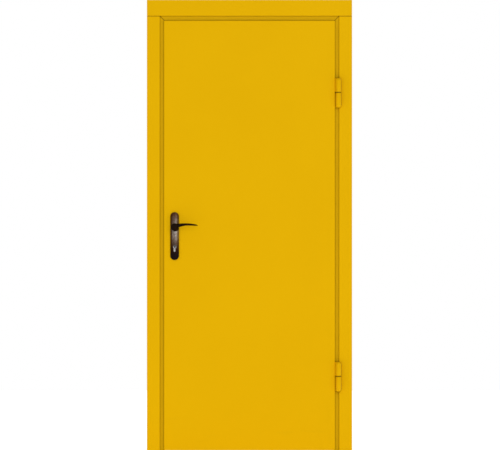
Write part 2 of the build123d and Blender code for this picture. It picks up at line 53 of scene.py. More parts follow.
class Wire:
    def __init__(self, tree, socket=None):
        self.tree = tree
        self.socket = socket

    def node(self, kind, settings=None, inputs=None, output=0):
        made = self.tree.nodes.new(kind)
        for name, value in (settings or {}).items():
            if name == "stops":
                self.setStops(made.color_ramp, value)
            else:
                setattr(made, name, value)
        for name, value in (inputs or {}).items():
            if isinstance(value, Wire):
                self.tree.links.new(value.socket, made.inputs[name])
            else:
                made.inputs[name].default_value = value
        return Wire(self.tree, made.outputs[output])

    def setStops(self, ramp, stops):
        while len(ramp.elements) < len(stops):
            ramp.elements.new(1.0)
        for element, (place, grey) in zip(ramp.elements, stops):
            element.position = place
            element.color = (grey, grey, grey, 1)

    def maths(self, operation, left, right=0.0):
        return self.node("ShaderNodeMath", {"operation": operation}, {0: left, 1: right})

    def __add__(self, other):
        return self.maths("ADD", self, other)

    def __sub__(self, other):
        return self.maths("SUBTRACT", self, other)

    def __rsub__(self, other):
        return self.maths("SUBTRACT", other, self)

    def __mul__(self, other):
        return self.maths("MULTIPLY", self, other)

    def __truediv__(self, other):
        return self.maths("DIVIDE", self, other)

    def __abs__(self):
        return self.maths("ABSOLUTE", self)


def axisOf(spot, letter):
    return spot.node("ShaderNodeSeparateXYZ", {}, {"Vector": spot}, letter)


def grain(spot, scale, detail=3.0, stretch=(1, 1, 1)):  # noise, scale counts patches to the metre
    place = spot.node("ShaderNodeMapping", {}, {"Vector": spot, "Scale": stretch})
    return spot.node("ShaderNodeTexNoise", {}, {"Vector": place, "Scale": scale, "Detail": detail})


def between(wire, low, high):  # 0 below low, 1 above high, smooth in between
    return wire.node(
        "ShaderNodeMapRange",
        {"interpolation_type": "SMOOTHSTEP"},
        {"Value": wire, "From Min": low, "From Max": high},
    )


def ridge(wire, middle, reach):  # 1 at the middle, fading to 0 at the reach on both sides
    return 1 - between(abs(wire - middle), 0.0, reach)


def larger(first, second):
    return first.maths("MAXIMUM", first, second)


def steps(wire, stops):
    return wire.node("ShaderNodeValToRGB", {"stops": stops}, {"Fac": wire})


def flatten(spot):  # seen along the leaf's thickness
    return spot.node("ShaderNodeMapping", {}, {"Vector": spot, "Scale": (1, 0, 1)})


def farFrom(spot, x, z):
    inputs = {0: flatten(spot), 1: (x, 0, z)}
    return spot.node("ShaderNodeVectorMath", {"operation": "DISTANCE"}, inputs, "Value")


# Distance to a rectangle with round corners, below zero inside it
def outsideOf(spot, low, high, radius):
    middle = (low + high) / 2
    inner = (high - low) / 2 - Vector((radius, 0, radius))
    turned = flatten(spot)
    for operation, value in (
        ("SUBTRACT", (middle.x, 0, middle.z)),
        ("ABSOLUTE", (0, 0, 0)),
        ("SUBTRACT", (inner.x, 0, inner.z)),
        ("MAXIMUM", (0, 0, 0)),
    ):
        turned = spot.node("ShaderNodeVectorMath", {"operation": operation}, {0: turned, 1: value})
    return spot.node("ShaderNodeVectorMath", {"operation": "LENGTH"}, {0: turned}, "Value") - radius


def tint(mask, plain, other):
    return mask.node("ShaderNodeMix", {"data_type": "RGBA"}, {0: mask, 6: plain, 7: other}, 2)


def relief(height, depth):
    return height.node("ShaderNodeBump", {}, {"Height": height, "Distance": depth}, "Normal")


def newFinish(name, fixed, drawFinish):
    material = bpy.data.materials.new(name)
    material.use_nodes = True
    tree = material.node_tree
    shader = tree.nodes["Principled BSDF"]
    for socketName, value in fixed.items():
        shader.inputs[socketName].default_value = value
    spot = Wire(tree).node("ShaderNodeTexCoord", output="Object")
    for socketName, wire in drawFinish(spot).items():
        tree.links.new(wire.socket, shader.inputs[socketName])
    return material


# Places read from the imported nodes

plateLow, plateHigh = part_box("outside_plate")
innerPlateLow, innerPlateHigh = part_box("inside_plate")
cylinderLow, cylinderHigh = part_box("key_cylinder")
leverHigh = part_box("outside_lever")[1]
spindleLow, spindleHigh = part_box("spindle")
skinLow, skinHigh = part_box("outer_skin")
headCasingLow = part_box("head_casing")[0]
hingeCasingLow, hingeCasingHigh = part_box("hinge_casing")
strikeLow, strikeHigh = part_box("strike_plate")
lockFrontLow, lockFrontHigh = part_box("lock_front")
grooveWall = hingeCasingLow.x
handleX = (plateLow.x + plateHigh.x) / 2
leverZ = (spindleLow.z + spindleHigh.z) / 2


# Finishes

paint = {
    "yellow": (0.787, 0.434, 0.0, 1),
    "deepYellow": (0.752, 0.408, 0.0, 1),
    "scuffed": (0.65, 0.36, 0.004, 1),
    "cloudSize": 2.2,  # faint drift of the colour over the sheet
    "cloudEdges": (0.35, 0.7),
    "cloudShare": 0.35,
    "speckSize": 1140,
    "speckEdges": (0.62, 0.75),
    "speckShare": 0.12,
    "sheetSize": 3.0,  # slow waves of the sheet under the paint
    "sheetDepth": 0.0006,
    "peelSize": 380,  # orange peel
    "peelShare": 0.07,
    "scuffSize": 26,  # scuffs near the floor, drawn out sideways
    "scuffStretch": (0.15, 1, 1),
    "scuffEdges": (0.58, 0.72),
    "scuffTop": 0.32,
    "scuffShare": 0.25,
    "scuffRoughness": 0.2,
    "roughness": 0.36,
    "roughSpread": 0.12,
}


def drawPaint(spot):
    cloud = grain(spot, paint["cloudSize"], 4.0)
    peel = grain(spot, paint["peelSize"], 1.0)
    speck = grain(spot, paint["speckSize"], 0.0)
    sheet = grain(spot, paint["sheetSize"], 1.0)
    scuff = grain(spot, paint["scuffSize"], 5.0, paint["scuffStretch"])
    scuff = between(scuff, *paint["scuffEdges"])
    scuff = scuff * (1 - between(axisOf(spot, "Z"), 0.0, paint["scuffTop"]))
    clouds = between(cloud, *paint["cloudEdges"]) * paint["cloudShare"]
    specks = between(speck, *paint["speckEdges"]) * paint["speckShare"]
    coat = tint(clouds + specks, paint["yellow"], paint["deepYellow"])
    rough = cloud * paint["roughSpread"] + scuff * paint["scuffRoughness"]
    return {
        "Base Color": tint(scuff * paint["scuffShare"], coat, paint["scuffed"]),
        "Roughness": rough + paint["roughness"],
        "Normal": relief(peel * paint["peelShare"] + sheet, paint["sheetDepth"]),
    }


# Painted shade near outlines: the handle plate's shadow on the leaf, and shade round the hinges on
# the casing
edgeShade = {
    "tone": (0.42, 0.22, 0.0, 1),
    "reach": 0.0024,
    "plateShare": 0.8,
    "plateShift": (-0.0012, 0, 0),
    "hingeShare": 0.28,
}
# painted shade colour, for the casing's butt joint, the hinge's split and outline, and the groove's
# mitres
shadeTone = (0.20, 0.078, 0.0, 1)


# darkens the colour near an outline, as painted shade
def dirtyNear(looks, apart, share):
    near = (1 - between(apart, 0.0, edgeShade["reach"])) * share
    looks["Base Color"] = tint(near, looks["Base Color"], edgeShade["tone"])


def drawLeaf(spot):  # painted shadow along the edge of the handle's plate, shifted to its left
    looks = drawPaint(spot)
    shift = Vector(edgeShade["plateShift"])
    apart = outsideOf(spot, plateLow + shift, plateHigh + shift, (plateHigh.x - plateLow.x) / 2)
    dirtyNear(looks, apart, edgeShade["plateShare"])
    return looks


# sizes of the hinge's outline, and of its painted shade at the split and along the rim
hingeLook = {
    "endRadius": 0.0105,
    "splitReach": 0.0042,
    "splitDrop": 0.0008,
    "rimReach": 0.0032,
    "rimShare": 0.58,
}
# painted shade line under the casing's butt joint
jointLook = {"drop": 0.0014, "reach": 0.0028, "share": 0.55}


def outsideHinge(spot, place):  # distance to the outline of a whole hinge, open towards the leaf
    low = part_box(place + "_hinge_frame_half")[0]
    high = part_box(place + "_hinge_leaf_half")[1]
    low.x = skinLow.x
    return outsideOf(spot, low, high, hingeLook["endRadius"])


def drawCasing(spot):  # painted shade under the head casing, and a faint painted shade outline where the hinges lie
    looks = drawPaint(spot)
    # painted shade along the butt joint under the head casing
    joint = ridge(axisOf(spot, "Z"), hingeCasingHigh.z - jointLook["drop"], jointLook["reach"])
    looks["Base Color"] = tint(joint * jointLook["share"], looks["Base Color"], shadeTone)
    for place in ("upper", "lower"):
        dirtyNear(looks, outsideHinge(spot, place), edgeShade["hingeShare"])
    return looks


def drawHinge(place):  # painted shade at the split and along the barrel's outline
    low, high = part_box(place + "_hinge_washer")
    splitZ = (low.z + high.z) / 2 - hingeLook["splitDrop"]

    def draw(spot):
        looks = drawPaint(spot)
        split = ridge(axisOf(spot, "Z"), splitZ, hingeLook["splitReach"])
        rim = between(outsideHinge(spot, place), -hingeLook["rimReach"], 0.0)
        paintedShade = larger(split, rim * hingeLook["rimShare"])
        looks["Base Color"] = tint(paintedShade, looks["Base Color"], shadeTone)
        return looks

    return draw


# painted shade of the sunk band round the leaf: a darker floor, dark lines along both sides, and
# dark mitres
groove = {
    "yellow": (0.720, 0.422, 0.002, 1),
    "line": (0.53, 0.298, 0.0, 1),
    "lineReach": 0.005,
    "mitreReach": 0.0042,
    "mitreShare": 0.7,
    "bandFrom": -0.004,  # where the band starts, measured from the leaf's edge
    "bandFull": -0.001,
}


def drawGroove(letter, wall, leafEdge):  # the sunk band round the leaf, painted darker as shade, with painted shade lines along both its sides and along the mitres
    def draw(spot):
        looks = drawPaint(spot)
        across = abs(axisOf(spot, letter))
        inBand = between(across, leafEdge + groove["bandFrom"], leafEdge + groove["bandFull"])
        lines = larger(
            ridge(across, wall, groove["lineReach"]),
            ridge(across, leafEdge, groove["lineReach"]),
        )
        # painted shade along the mitre of the band
        slant = abs(axisOf(spot, "X")) - axisOf(spot, "Z") + (headCasingLow.z - grooveWall)
        mitre = ridge(slant, 0.0, groove["mitreReach"]) * inBand
        band = tint(inBand, looks["Base Color"], groove["yellow"])
        band = tint(lines * inBand, band, groove["line"])
        looks["Base Color"] = tint(mitre * groove["mitreShare"], band, shadeTone)
        return looks

    return draw


def drawMottled(look):  # two tones in clouds, with a fine grain
    def draw(spot):
        cloud = grain(spot, look["cloudSize"], look["cloudDetail"])
        fine = grain(spot, look["fineSize"], look["fineDetail"])
        return {
            "Base Color": tint(between(cloud, *look["cloudEdges"]), look["plain"], look["clouded"]),
            "Roughness": cloud * look["roughSpread"] + look["roughness"],
            "Normal": relief(fine, look["depth"]),
        }

    return draw


# dark colour of the joint filler and mitre welds, painted shade in the joints
seamShadeLook = {
    "plain": (0.26, 0.125, 0.0, 1),
    "clouded": (0.18, 0.080, 0.0, 1),
    "cloudSize": 90,
    "cloudDetail": 3.0,
    "cloudEdges": (0.35, 0.65),
    "roughness": 0.55,
    "roughSpread": 0.2,
    "fineSize": 1200,
    "fineDetail": 2.0,
    "depth": 0.00004,
}
zincLook = {
    "plain": (0.60, 0.60, 0.57, 1),
    "clouded": (0.44, 0.45, 0.45, 1),
    "cloudSize": 130,
    "cloudDetail": 5.0,
    "cloudEdges": (0.35, 0.7),
    "roughness": 0.25,
    "roughSpread": 0.25,
    "fineSize": 900,
    "fineDetail": 2.0,
    "depth": 0.00002,
}
rubberLook = {
    "plain": (0.012, 0.012, 0.013, 1),
    "clouded": (0.03, 0.03, 0.03, 1),
    "cloudSize": 40,
    "cloudDetail": 4.0,
    "cloudEdges": (0.45, 0.75),
    "roughness": 0.6,
    "roughSpread": 0.2,
    "fineSize": 1600,
    "fineDetail": 2.0,
    "depth": 0.00004,
}
brassLook = {  # greased and gone dark
    "plain": (0.030, 0.014, 0.003, 1),
    "clouded": (0.012, 0.006, 0.002, 1),
    "cloudSize": 250,
    "cloudDetail": 4.0,
    "cloudEdges": (0.4, 0.7),
    "roughness": 0.5,
    "roughSpread": 0.2,
    "fineSize": 250,
    "fineDetail": 4.0,
    "depth": 0.00001,
}

bronze = {
    "dark": (0.0085, 0.0045, 0.003, 1),
    "brown": (0.055, 0.018, 0.0025, 1),
    # painted highlight, the reflection on the plate, and its warmer tone towards the right
    "paintedHighlight": (0.34, 0.30, 0.265, 1),
    "paintedHighlightWarm": (0.30, 0.22, 0.08, 1),
    "shadow": (0.010, 0.006, 0.007, 1),
    "depth": 0.00002,
}

leverLook = {
    "cloudSize": 60,
    "cloudEdges": (0.45, 0.75),
    "cloudShare": 0.25,
    "wornFrom": 0.05,  # along the lever, from its axis
    "wornShare": 0.6,
    "roughness": 0.3,
    "roughSpread": 0.2,
    "fineSize": 900,
}


def drawLeverBronze(spot):
    cloud = grain(spot, leverLook["cloudSize"], 4.0)
    fine = grain(spot, leverLook["fineSize"], 2.0)
    clouds = between(cloud, *leverLook["cloudEdges"]) * leverLook["cloudShare"]
    reach = between(axisOf(spot, "X"), handleX + leverLook["wornFrom"], leverHigh.x)
    wearAndHighlight = clouds + reach * leverLook["wornShare"]
    return {
        "Base Color": tint(wearAndHighlight, bronze["dark"], bronze["brown"]),
        "Roughness": cloud * leverLook["roughSpread"] + leverLook["roughness"],
        "Normal": relief(fine, bronze["depth"]),
    }


plateLook = {
    "alongStops": (  # painted highlight along the plate, from its foot to its top
        (0.0, 0.0),
        (0.22, 0.0),
        (0.36, 0.2),
        (0.48, 0.75),
        (0.57, 1.0),
        (0.64, 0.95),
        (0.75, 0.5),
        (0.86, 0.32),
        (0.94, 0.1),
        (1.0, 0.02),
    ),
    "acrossStops": (  # painted highlight across the plate, from its left edge to its right one
        (0.0, 0.03),
        (0.14, 0.08),
        (0.26, 0.54),
        (0.55, 0.63),
        (0.70, 1.0),
        (0.84, 0.42),
        (1.0, 0.3),
    ),
    "mottleSize": 150,
    "mottleEdges": (0.3, 0.7),
    "mottleShare": 0.9,
    "evenShare": 0.55,
    "hubShadowShift": (0.003, -0.001),  # painted shadow of the hub, a dark ring off the lever's axis
    "hubShadowRadii": (0.0170, 0.0205),
    "brownAlong": (0.05, 0.5),
    "warmAcross": (0.72, 0.88),
    "roughness": 0.32,
    "roughSpread": 0.2,
    "fineSize": 700,
}


def drawPlateBronze(spot):
    across = (axisOf(spot, "X") - plateLow.x) / (plateHigh.x - plateLow.x)
    along = (axisOf(spot, "Z") - plateLow.z) / (plateHigh.z - plateLow.z)
    mottle = grain(spot, plateLook["mottleSize"], 4.0)
    fine = grain(spot, plateLook["fineSize"], 2.0)
    mottled = between(mottle, *plateLook["mottleEdges"]) * plateLook["mottleShare"]
    # painted highlight on the plate, shaped along and across it
    paintedHighlight = steps(along, plateLook["alongStops"]) * steps(across, plateLook["acrossStops"])
    paintedHighlight = paintedHighlight * (mottled + plateLook["evenShare"])
    # painted shadow of the hub
    shiftX, shiftZ = plateLook["hubShadowShift"]
    fromHub = farFrom(spot, handleX + shiftX, leverZ + shiftZ)
    hubShadow = 1 - between(fromHub, *plateLook["hubShadowRadii"])
    # painted shade: the plate darker towards its foot; painted highlight warmer towards its right
    rim = tint(between(along, *plateLook["brownAlong"]), bronze["shadow"], bronze["brown"])
    wearAndHighlight = tint(between(across, *plateLook["warmAcross"]), bronze["paintedHighlight"], bronze["paintedHighlightWarm"])
    return {
        "Base Color": tint(hubShadow, tint(paintedHighlight, rim, wearAndHighlight), bronze["dark"]),
        "Roughness": mottle * plateLook["roughSpread"] + plateLook["roughness"],
        "Normal": relief(fine, bronze["depth"]),
    }


nickelLook = {
    "headRadius": 0.0085,
    "tailRadius": 0.0048,
    "plugRadius": 0.0055,
    "plugBlur": 0.0003,
    "plugShare": 0.6,
    "tailShift": -0.0007,
    "tailEnd": 0.004,  # height over which the tail's foot rounds in
    "tailPull": 0.005,
    "headFade": (-0.006, 0.005),  # heights from the plug's axis over which the head darkens towards its top, as painted shade
    "edgeWidths": (0.0001, 0.0014),
    "cloudSize": 300,
    "cloudEdges": (0.4, 0.7),
    "streakSize": 500,
    "streakStretch": (1, 0.1, 1),
    "roughness": 0.26,
    "roughSpread": 0.15,
    "depth": 0.00001,
    "bright": (0.45, 0.425, 0.415, 1),
    "clouded": (0.36, 0.335, 0.325, 1),
    # painted shade at the head's top
    "headTone": (0.075, 0.068, 0.066, 1),
    "plugTone": (0.17, 0.155, 0.15, 1),
    # painted shade along the cylinder's outline
    "edge": (0.020, 0.017, 0.016, 1),
}
plugZ = cylinderHigh.z - nickelLook["headRadius"]


def drawNickel(spot):
    cloud = grain(spot, nickelLook["cloudSize"], 4.0)
    streak = grain(spot, nickelLook["streakSize"], 2.0, nickelLook["streakStretch"])
    fromPlug = farFrom(spot, handleX, plugZ)
    sideways = abs(axisOf(spot, "X") - (handleX + nickelLook["tailShift"]))
    up = axisOf(spot, "Z")
    foot = 1 - between(up, cylinderLow.z, cylinderLow.z + nickelLook["tailEnd"])
    inHead = nickelLook["headRadius"] - fromPlug
    inTail = nickelLook["tailRadius"] - sideways - foot * nickelLook["tailPull"]
    inside = larger(inHead, inTail)
    clouds = between(cloud, *nickelLook["cloudEdges"])
    metal = tint(clouds, nickelLook["bright"], nickelLook["clouded"])
    plugRadius = nickelLook["plugRadius"]
    plug = 1 - between(fromPlug, plugRadius - nickelLook["plugBlur"], plugRadius)
    metal = tint(plug * nickelLook["plugShare"], metal, nickelLook["plugTone"])
    # painted shade: the head darker towards its top
    metal = tint(between(up - plugZ, *nickelLook["headFade"]), metal, nickelLook["headTone"])
    # painted shade along the cylinder's outline
    pastEdge = between(inside, *nickelLook["edgeWidths"])
    return {
        "Base Color": tint(pastEdge, nickelLook["edge"], metal),
        "Roughness": streak * nickelLook["roughSpread"] + nickelLook["roughness"],
        "Normal": relief(streak, nickelLook["depth"]),
    }


sillLook = {
    "plain": (0.56, 0.56, 0.55, 1),
    "clouded": (0.46, 0.455, 0.44, 1),
    "cloudSize": 9,
    "cloudEdges": (0.35, 0.7),
    "cloudRoughness": 0.15,
    "brushSize": 900,
    "brushStretch": (0.012, 1, 1),
    "brushRoughness": 0.2,
    "roughness": 0.2,
    "depth": 0.00003,
}


def drawSill(spot):
    brush = grain(spot, sillLook["brushSize"], 3.0, sillLook["brushStretch"])
    cloud = grain(spot, sillLook["cloudSize"], 4.0)
    clouds = between(cloud, *sillLook["cloudEdges"])
    rough = brush * sillLook["brushRoughness"] + cloud * sillLook["cloudRoughness"]
    return {
        "Base Color": tint(clouds, sillLook["plain"], sillLook["clouded"]),
        "Roughness": rough + sillLook["roughness"],
        "Normal": relief(brush, sillLook["depth"]),
    }


paintFixed = {"Specular IOR Level": 0.3, "Specular Tint": (1.0, 0.78, 0.06, 1)}
metalFixed = {"Metallic": 1.0}
leafPaint = newFinish("leafPaint", paintFixed, drawLeaf)
framePaint = newFinish("framePaint", paintFixed, drawPaint)
casingPaint = newFinish("casingPaint", paintFixed, drawCasing)
upperHingePaint = newFinish("upperHingePaint", paintFixed, drawHinge("upper"))
lowerHingePaint = newFinish("lowerHingePaint", paintFixed, drawHinge("lower"))
jambPaint = newFinish("jambPaint", paintFixed, drawGroove("X", grooveWall, skinHigh.x))
headPaint = newFinish("headPaint", paintFixed, drawGroove("Z", headCasingLow.z, skinHigh.z))
seamShade = newFinish("seamShade", {"Specular IOR Level": 0.1}, drawMottled(seamShadeLook))
plateBronze = newFinish("plateBronze", metalFixed, drawPlateBronze)
leverBronze = newFinish("leverBronze", metalFixed, drawLeverBronze)
nickel = newFinish("nickel", metalFixed, drawNickel)
zinc = newFinish("zinc", metalFixed, drawMottled(zincLook))
sillSteel = newFinish("sillSteel", metalFixed, drawSill)
rubber = newFinish("rubber", {}, drawMottled(rubberLook))
brass = newFinish("brass", metalFixed, drawMottled(brassLook))

slotFinish = {
    "frame_paint": framePaint,
    "leaf_paint": leafPaint,
    "sill_steel": sillSteel,
    "handle_metal": leverBronze,
    "cylinder_nickel": nickel,
    "seal_rubber": rubber,
    "lock_steel": zinc,
    "washer_brass": brass,
}
nodeFinish = {
    "lock_jamb_lower": jambPaint,
    "lock_jamb_keeper": jambPaint,
    "lock_jamb_upper": jambPaint,
    "hinge_jamb": jambPaint,
    "head": headPaint,
    "lock_casing": casingPaint,
    "hinge_casing": casingPaint,
}
for part in frame["record"]["subparts"]:
    node = frame["nodes"][part["node"]]
    node.data.materials.clear()
    node.data.materials.append(nodeFinish.get(part["node"], slotFinish[part["material_slot"]]))
print("finishes on the nodes")


# New pieces

tiny = 1e-6  # metres, less than any real size here
flatAngle = 0.5  # degrees, faces that turn less than this count as one


def keepPiece(name, bm, body, finish, crease=35):
    bmesh.ops.recalc_face_normals(bm, faces=bm.faces)
    mesh = bpy.data.meshes.new(name)
    bm.to_mesh(mesh)
    bm.free()
    mesh.shade_smooth()
    mesh.set_sharp_from_angle(angle=math.radians(crease))
    mesh.materials.append(finish)
    piece = bpy.data.objects.new(name, mesh)
    bpy.context.scene.collection.objects.link(piece)
    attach(piece, body)
    return piece


def roundOff(bm, edges, offset, segments):
    bmesh.ops.bevel(
        bm, geom=edges, offset=offset, segments=segments, profile=0.5,
        affect="EDGES", material=-1, clamp_overlap=True,
    )


def cutAcross(bm, place, direction, cutAway=False):
    everything = bm.verts[:] + bm.edges[:] + bm.faces[:]
    bmesh.ops.bisect_plane(
        bm, geom=everything, plane_co=place, plane_no=direction, clear_outer=cutAway)


def closeHoles(bm):
    bmesh.ops.holes_fill(bm, edges=[e for e in bm.edges if e.is_boundary], sides=0)


def isSharp(edge, angle):
    return edge.is_manifold and edge.calc_face_angle() > math.radians(angle)


def vertsOf(geometry):
    return [item for item in geometry if isinstance(item, bmesh.types.BMVert)]


def copyNode(nodeName):
    bm = bmesh.new()
    bm.from_mesh(frame["nodes"][nodeName].data)
    bmesh.ops.remove_doubles(bm, verts=bm.verts, dist=tiny)
    bmesh.ops.dissolve_limit(
        bm, angle_limit=math.radians(flatAngle), verts=bm.verts, edges=bm.edges)
    return bm


# The outline gives pairs of radius and height along the axis
def spinRound(bm, outline, centre, axis, segments):
    axis = Vector(axis)
    sideways = axis.orthogonal().normalized()
    points = [bm.verts.new(sideways * radius + axis * height) for radius, height in outline]
    edges = [bm.edges.new(pair) for pair in zip(points, points[1:])]
    bmesh.ops.spin(
        bm, geom=points + edges, cent=(0, 0, 0), axis=axis, angle=math.radians(360),
        steps=segments, use_merge=True,
    )
    bmesh.ops.remove_doubles(bm, verts=bm.verts, dist=tiny)
    bmesh.ops.translate(bm, verts=bm.verts, vec=centre)


# Long plates, arched across their width
plateShape = {
    "roundSegments": 64,
    "archCuts": 16,
    "edge": 0.0013,
    "edgeSegments": 4,
    "sideShare": 0.625,  # of the thickness, the rest is the arch
    "crease": 50,
}


def makePlate(name, nodeName, outward):
    low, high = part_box(nodeName)
    half = (high.x - low.x) / 2
    straight = (high.z - low.z) / 2 - half
    thickness = high.y - low.y
    seat = high.y if outward < 0 else low.y
    bm = bmesh.new()
    bmesh.ops.create_circle(bm, cap_ends=True, segments=plateShape["roundSegments"], radius=half)
    bmesh.ops.rotate(bm, verts=bm.verts, matrix=Matrix.Rotation(math.radians(90), 3, "X"))
    for upward in (-1, 1):
        end = [v for v in bm.verts if v.co.z * upward > tiny]
        bmesh.ops.translate(bm, verts=end, vec=(0, 0, upward * straight))
    lifted = bmesh.ops.extrude_face_region(bm, geom=bm.faces[:])["geom"]
    side = thickness * plateShape["sideShare"]
    bmesh.ops.translate(bm, verts=vertsOf(lifted), vec=(0, outward * side, 0))
    for cut in range(1, plateShape["archCuts"]):
        cutAcross(bm, (half * (2 * cut / plateShape["archCuts"] - 1), 0, 0), (1, 0, 0))
    bm.normal_update()
    front = [v for v in bm.verts if abs(v.co.y) > side / 2]
    rim = [
        e for e in bm.edges
        if all(v in front for v in e.verts) and any(abs(f.normal.y) < 0.5 for f in e.link_faces)
    ]
    for v in front:
        rise = (thickness - side) * (1 - (v.co.x / half) ** 2)
        v.co.y += outward * rise
    roundOff(bm, rim, plateShape["edge"], plateShape["edgeSegments"])
    bmesh.ops.dissolve_degenerate(bm, edges=bm.edges, dist=tiny)
    middle = (low + high) / 2
    bmesh.ops.translate(bm, verts=bm.verts, vec=(middle.x, seat, middle.z))
    plate = keepPiece(name, bm, "leaf", plateBronze, plateShape["crease"])
    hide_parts(nodeName)


makePlate("outsidePlate", "outside_plate", -1)
makePlate("insidePlate", "inside_plate", 1)
print("plates made")


# Levers, cast in one with their hubs
leverShape = {
    "neckRadius": 0.0100,
    "hubRadius": 0.0176,
    "hubLength": 0.016,
    "hubEdge": 0.0016,
    "armLength": 0.109,
    "armLift": 0.0130,
    "armHeight": 0.0218,
    "armDepth": 0.013,
    "armLean": 0.008,
    "armSections": (  # shares of length, lift, height, depth and lean, from hub to tip
        (0.037, 0.40, 1.00, 1.00, 0.00),
        (0.130, 0.54, 0.90, 0.99, 0.01),
        (0.225, 0.67, 0.76, 0.97, 0.02),
        (0.330, 0.82, 0.63, 0.95, 0.05),
        (0.450, 0.95, 0.53, 0.91, 0.12),
        (0.600, 0.95, 0.475, 0.85, 0.25),
        (0.740, 0.88, 0.425, 0.77, 0.42),
        (0.870, 0.77, 0.36, 0.62, 0.68),
        (0.955, 0.67, 0.26, 0.44, 0.89),
        (0.992, 0.62, 0.15, 0.26, 0.985),
    ),
    "roundSegments": 28,
    "hubSegments": 64,
    "voxel": 0.0007,
    "smoothRounds": 6,
    "smoothShare": 0.5,
    "crease": 180,
}


def makeArm(bm, hubMiddle, outward):
    rings = []
    for reach, lift, height, depth, lean in leverShape["armSections"]:
        centre = Vector((
            handleX + reach * leverShape["armLength"],
            hubMiddle - outward * lean * leverShape["armLean"],
            leverZ + lift * leverShape["armLift"],
        ))
        stretch = Matrix.Diagonal(
            (height * leverShape["armHeight"] / 2, depth * leverShape["armDepth"] / 2, 1, 1))
        place = Matrix.Translation(centre) @ Matrix.Rotation(math.radians(90), 4, "Y") @ stretch
        ring = bmesh.ops.create_circle(
            bm, segments=leverShape["roundSegments"], radius=1.0, matrix=place)["verts"]
        rings.append(list({edge for v in ring for edge in v.link_edges}))
    for first, second in zip(rings, rings[1:]):
        bmesh.ops.bridge_loops(bm, edges=first + second)
    bmesh.ops.contextual_create(bm, geom=rings[0])
    bmesh.ops.contextual_create(bm, geom=rings[-1])


def makeHub(bm, neckEnd, hubBack, hubFront, outward):
    edge = leverShape["hubEdge"]
    hubRadius = leverShape["hubRadius"]
    neckRadius = leverShape["neckRadius"]
    outline = (
        (0, neckEnd),
        (neckRadius, neckEnd),
        (neckRadius, hubBack - outward * edge),
        (neckRadius + edge, hubBack),
        (hubRadius - edge, hubBack),
        (hubRadius, hubBack + outward * edge),
        (hubRadius, hubFront - outward * edge),
        (hubRadius - edge, hubFront),
        (0, hubFront),
    )
    spinRound(bm, outline, Vector((handleX, 0, leverZ)), (0, 1, 0), leverShape["hubSegments"])


def castTogether(name, bm):
    mesh = bpy.data.meshes.new(name)
    bmesh.ops.remove_doubles(bm, verts=bm.verts, dist=tiny)
    bmesh.ops.recalc_face_normals(bm, faces=bm.faces)
    bm.to_mesh(mesh)
    bm.free()
    rough = bpy.data.objects.new(name, mesh)
    bpy.context.scene.collection.objects.link(rough)
    remesh = rough.modifiers.new("cast", "REMESH")
    remesh.mode = "VOXEL"
    remesh.voxel_size = leverShape["voxel"]
    evaluated = rough.evaluated_get(bpy.context.evaluated_depsgraph_get())
    solid = bpy.data.meshes.new_from_object(evaluated)
    bpy.data.objects.remove(rough)
    bpy.data.meshes.remove(mesh)
    cast = bmesh.new()
    cast.from_mesh(solid)
    bpy.data.meshes.remove(solid)
    for _ in range(leverShape["smoothRounds"]):
        bmesh.ops.smooth_vert(
            cast, verts=cast.verts, factor=leverShape["smoothShare"],
            use_axis_x=True, use_axis_y=True, use_axis_z=True,
        )
    return cast


def makeLever(name, nodeName, outward):
    low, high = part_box(nodeName)
    hubFront = low.y if outward < 0 else high.y
    neckEnd = high.y if outward < 0 else low.y
    hubBack = hubFront - outward * leverShape["hubLength"]
    bm = bmesh.new()
    makeHub(bm, neckEnd, hubBack, hubFront, outward)
    makeArm(bm, (hubFront + hubBack) / 2, outward)
    cast = castTogether(name, bm)
    lever = keepPiece(name, cast, "lever", leverBronze, leverShape["crease"])
    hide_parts(nodeName)


makeLever("outsideLever", "outside_lever", -1)
makeLever("insideLever", "inside_lever", 1)
print("levers made")


# Key cylinder with softened edges, and the ring of its turning plug at each end
cylinderShape = {
    "edge": 0.0004,
    "edgeSegments": 3,
    "sharp": 57,  # degrees, edges that turn more than this are rims
    "endPlay": 0.00001,
    "keywayReach": 0.0050,
    "ringInner": 0.0055,
    "ringOuter": 0.0062,
    "ringProud": 0.00025,
    "ringSegments": 56,
    "crease": 40,
}


def makeCylinder():
    def onRim(v):
        fromEnd = min(abs(v.co.y - cylinderLow.y), abs(v.co.y - cylinderHigh.y))
        fromPlug = math.hypot(v.co.x - handleX, v.co.z - plugZ)
        return fromEnd < cylinderShape["endPlay"] and fromPlug > cylinderShape["keywayReach"]

    bm = copyNode("key_cylinder")
    rims = [
        e for e in bm.edges
        if all(onRim(v) for v in e.verts) and isSharp(e, cylinderShape["sharp"])
    ]
    roundOff(bm, rims, cylinderShape["edge"], cylinderShape["edgeSegments"])
    cylinder = keepPiece(
        "keyCylinder", bm, "leaf", nickel, cylinderShape["crease"])
    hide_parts("key_cylinder")


def makePlugRing(name, faceY, outward):
    inner = cylinderShape["ringInner"]
    outer = cylinderShape["ringOuter"]
    proud = outward * cylinderShape["ringProud"]
    outline = ((inner, -proud), (inner, proud), (outer, proud), (outer, -proud), (inner, -proud))
    bm = bmesh.new()
    centre = Vector((handleX, faceY, plugZ))
    spinRound(bm, outline, centre, (0, 1, 0), cylinderShape["ringSegments"])
    keepPiece(name, bm, "leaf", nickel)


makeCylinder()
makePlugRing("outsidePlugRing", cylinderLow.y, -1)
makePlugRing("insidePlugRing", cylinderHigh.y, 1)
print("cylinder made")


# Hinge halves with softened edges, the far ends of their barrels rounded by rings of slanted cuts
hingeShape = {
    "edge": 0.0006,
    "edgeSegments": 3,
    "boreReach": 0.0078,
    "sharp": 45,  # degrees
    "endCuts": ((0.008, 0.008), (0.0035, 0.013)),  # inset at the end, and length along the barrel
    "cutAngles": range(-140, 1, 10),  # from the front left to the right
}


